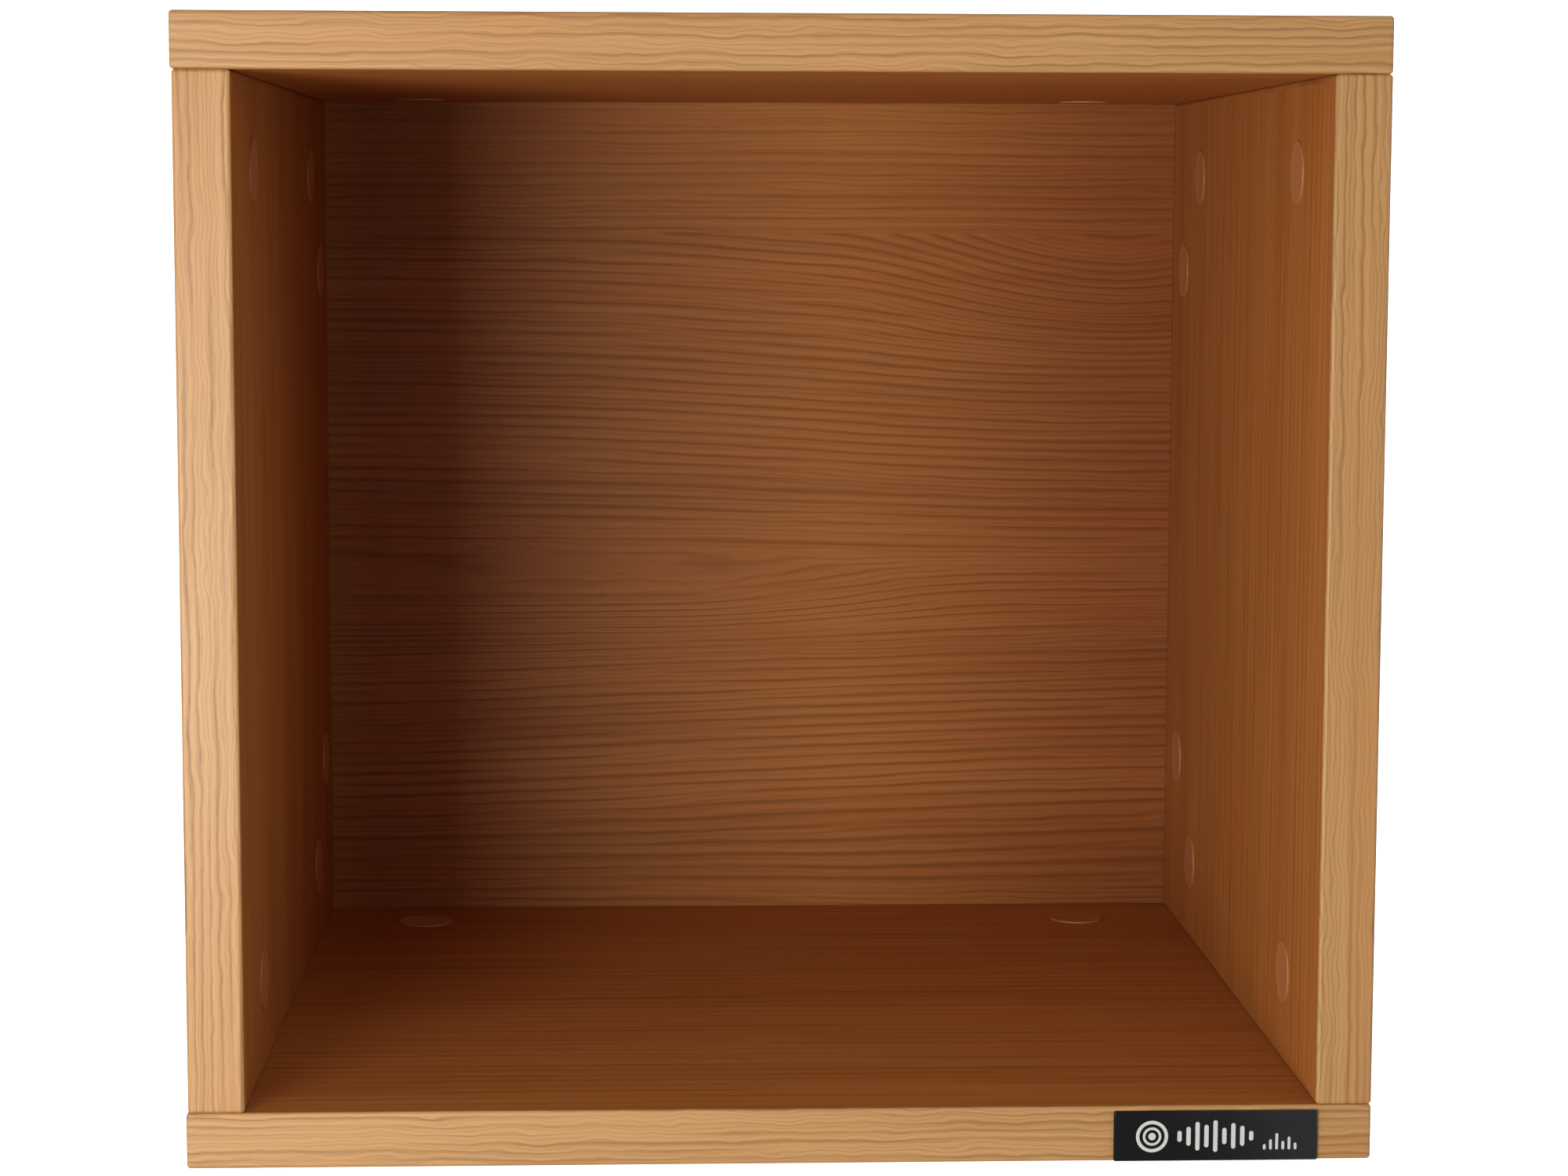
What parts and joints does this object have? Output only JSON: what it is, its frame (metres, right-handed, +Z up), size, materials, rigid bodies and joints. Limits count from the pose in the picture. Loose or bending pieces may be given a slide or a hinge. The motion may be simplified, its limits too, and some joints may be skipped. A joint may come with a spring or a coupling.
{
  "type": "cube storage unit",
  "caption": "Open-fronted wood-look cube box for record sleeves, boards joined by cam locks under round caps.",
  "frame": {"origin": "bottom centre of the boards, on the surface that the cube stands on", "axes": "+X to the right seen from the open front, +Y from the front to the back, +Z up"},
  "size_m": [0.38, 0.3463, 0.365],
  "materials": {
    "oak_board": "satin oak veneer on chipboard",
    "oak_edge_band": "satin oak edge band",
    "oak_cap": "matte, printed wood tone",
    "cam_zinc": "die-cast zinc, dull",
    "bolt_steel": "zinc plated",
    "beech_dowel": "bare, fluted",
    "badge_black": "high gloss, domed"
  },
  "bodies": {
    "cabinet": {"top_panel": "oak_board", "base_panel": "oak_board", "left_side_panel": "oak_board", "right_side_panel": "oak_board", "back_panel": "oak_board", "top_panel_front_band": "oak_edge_band", "top_panel_rear_band": "oak_edge_band", "top_panel_left_band": "oak_edge_band", "top_panel_right_band": "oak_edge_band", "base_panel_front_band": "oak_edge_band", "base_panel_rear_band": "oak_edge_band", "base_panel_left_band": "oak_edge_band", "base_panel_right_band": "oak_edge_band", "left_side_panel_front_band": "oak_edge_band", "left_side_panel_rear_band": "oak_edge_band", "left_side_panel_upper_band": "oak_edge_band", "left_side_panel_lower_band": "oak_edge_band", "right_side_panel_front_band": "oak_edge_band", "right_side_panel_rear_band": "oak_edge_band", "right_side_panel_upper_band": "oak_edge_band", "right_side_panel_lower_band": "oak_edge_band", "back_panel_upper_band": "oak_edge_band", "back_panel_lower_band": "oak_edge_band", "back_panel_left_band": "oak_edge_band", "back_panel_right_band": "oak_edge_band", "top_panel_cover_caps": "oak_cap", "base_panel_cover_caps": "oak_cap", "left_side_panel_cover_caps": "oak_cap", "right_side_panel_cover_caps": "oak_cap", "top_panel_cam_bolts": "bolt_steel", "base_panel_cam_bolts": "bolt_steel", "back_panel_cam_bolts": "bolt_steel", "top_joint_dowels": "beech_dowel", "base_joint_dowels": "beech_dowel", "back_joint_dowels": "beech_dowel", "badge": "badge_black"},
    "left_side_panel_cam_top_front_body": {"left_side_panel_cam_top_front": "cam_zinc"},
    "left_side_panel_cam_top_rear_body": {"left_side_panel_cam_top_rear": "cam_zinc"},
    "left_side_panel_cam_base_front_body": {"left_side_panel_cam_base_front": "cam_zinc"},
    "left_side_panel_cam_base_rear_body": {"left_side_panel_cam_base_rear": "cam_zinc"},
    "left_side_panel_cam_back_upper_body": {"left_side_panel_cam_back_upper": "cam_zinc"},
    "left_side_panel_cam_back_lower_body": {"left_side_panel_cam_back_lower": "cam_zinc"},
    "right_side_panel_cam_top_front_body": {"right_side_panel_cam_top_front": "cam_zinc"},
    "right_side_panel_cam_top_rear_body": {"right_side_panel_cam_top_rear": "cam_zinc"},
    "right_side_panel_cam_base_front_body": {"right_side_panel_cam_base_front": "cam_zinc"},
    "right_side_panel_cam_base_rear_body": {"right_side_panel_cam_base_rear": "cam_zinc"},
    "right_side_panel_cam_back_upper_body": {"right_side_panel_cam_back_upper": "cam_zinc"},
    "right_side_panel_cam_back_lower_body": {"right_side_panel_cam_back_lower": "cam_zinc"},
    "top_panel_cam_back_left_body": {"top_panel_cam_back_left": "cam_zinc"},
    "base_panel_cam_back_left_body": {"base_panel_cam_back_left": "cam_zinc"},
    "top_panel_cam_back_right_body": {"top_panel_cam_back_right": "cam_zinc"},
    "base_panel_cam_back_right_body": {"base_panel_cam_back_right": "cam_zinc"}
  },
  "joints": [
    {"name": "left_side_panel_cam_lock_top_front_turn", "type": "hinge", "parent": "cabinet", "child": "left_side_panel_cam_top_front_body", "pos_m": [-0.1714, -0.1115, 0.317], "axis": [1, 0, 0], "range_deg": [0, 190]},
    {"name": "left_side_panel_cam_lock_top_rear_turn", "type": "hinge", "parent": "cabinet", "child": "left_side_panel_cam_top_rear_body", "pos_m": [-0.1714, 0.0875, 0.317], "axis": [1, 0, 0], "range_deg": [0, 190]},
    {"name": "left_side_panel_cam_lock_base_front_turn", "type": "hinge", "parent": "cabinet", "child": "left_side_panel_cam_base_front_body", "pos_m": [-0.1714, -0.1115, 0.048], "axis": [1, 0, 0], "range_deg": [0, 190]},
    {"name": "left_side_panel_cam_lock_base_rear_turn", "type": "hinge", "parent": "cabinet", "child": "left_side_panel_cam_base_rear_body", "pos_m": [-0.1714, 0.0875, 0.048], "axis": [1, 0, 0], "range_deg": [0, 190]},
    {"name": "left_side_panel_cam_lock_back_upper_turn", "type": "hinge", "parent": "cabinet", "child": "left_side_panel_cam_back_upper_body", "pos_m": [-0.1714, 0.1245, 0.2805], "axis": [1, 0, 0], "range_deg": [0, 190]},
    {"name": "left_side_panel_cam_lock_back_lower_turn", "type": "hinge", "parent": "cabinet", "child": "left_side_panel_cam_back_lower_body", "pos_m": [-0.1714, 0.1245, 0.0845], "axis": [1, 0, 0], "range_deg": [0, 190]},
    {"name": "right_side_panel_cam_lock_top_front_turn", "type": "hinge", "parent": "cabinet", "child": "right_side_panel_cam_top_front_body", "pos_m": [0.172, -0.1115, 0.317], "axis": [-1, 0, 0], "range_deg": [0, 190]},
    {"name": "right_side_panel_cam_lock_top_rear_turn", "type": "hinge", "parent": "cabinet", "child": "right_side_panel_cam_top_rear_body", "pos_m": [0.172, 0.0875, 0.317], "axis": [-1, 0, 0], "range_deg": [0, 190]},
    {"name": "right_side_panel_cam_lock_base_front_turn", "type": "hinge", "parent": "cabinet", "child": "right_side_panel_cam_base_front_body", "pos_m": [0.172, -0.1115, 0.048], "axis": [-1, 0, 0], "range_deg": [0, 190]},
    {"name": "right_side_panel_cam_lock_base_rear_turn", "type": "hinge", "parent": "cabinet", "child": "right_side_panel_cam_base_rear_body", "pos_m": [0.172, 0.0875, 0.048], "axis": [-1, 0, 0], "range_deg": [0, 190]},
    {"name": "right_side_panel_cam_lock_back_upper_turn", "type": "hinge", "parent": "cabinet", "child": "right_side_panel_cam_back_upper_body", "pos_m": [0.172, 0.1245, 0.2805], "axis": [-1, 0, 0], "range_deg": [0, 190]},
    {"name": "right_side_panel_cam_lock_back_lower_turn", "type": "hinge", "parent": "cabinet", "child": "right_side_panel_cam_back_lower_body", "pos_m": [0.172, 0.1245, 0.0845], "axis": [-1, 0, 0], "range_deg": [0, 190]},
    {"name": "top_panel_cam_lock_back_left_turn", "type": "hinge", "parent": "cabinet", "child": "top_panel_cam_back_left_body", "pos_m": [-0.132, 0.1245, 0.347], "axis": [0, 0, -1], "range_deg": [0, 190]},
    {"name": "base_panel_cam_lock_back_left_turn", "type": "hinge", "parent": "cabinet", "child": "base_panel_cam_back_left_body", "pos_m": [-0.132, 0.1245, 0.018], "axis": [0, 0, 1], "range_deg": [0, 190]},
    {"name": "top_panel_cam_lock_back_right_turn", "type": "hinge", "parent": "cabinet", "child": "top_panel_cam_back_right_body", "pos_m": [0.132, 0.1245, 0.347], "axis": [0, 0, -1], "range_deg": [0, 190]},
    {"name": "base_panel_cam_lock_back_right_turn", "type": "hinge", "parent": "cabinet", "child": "base_panel_cam_back_right_body", "pos_m": [0.132, 0.1245, 0.018], "axis": [0, 0, 1], "range_deg": [0, 190]}
  ]
}
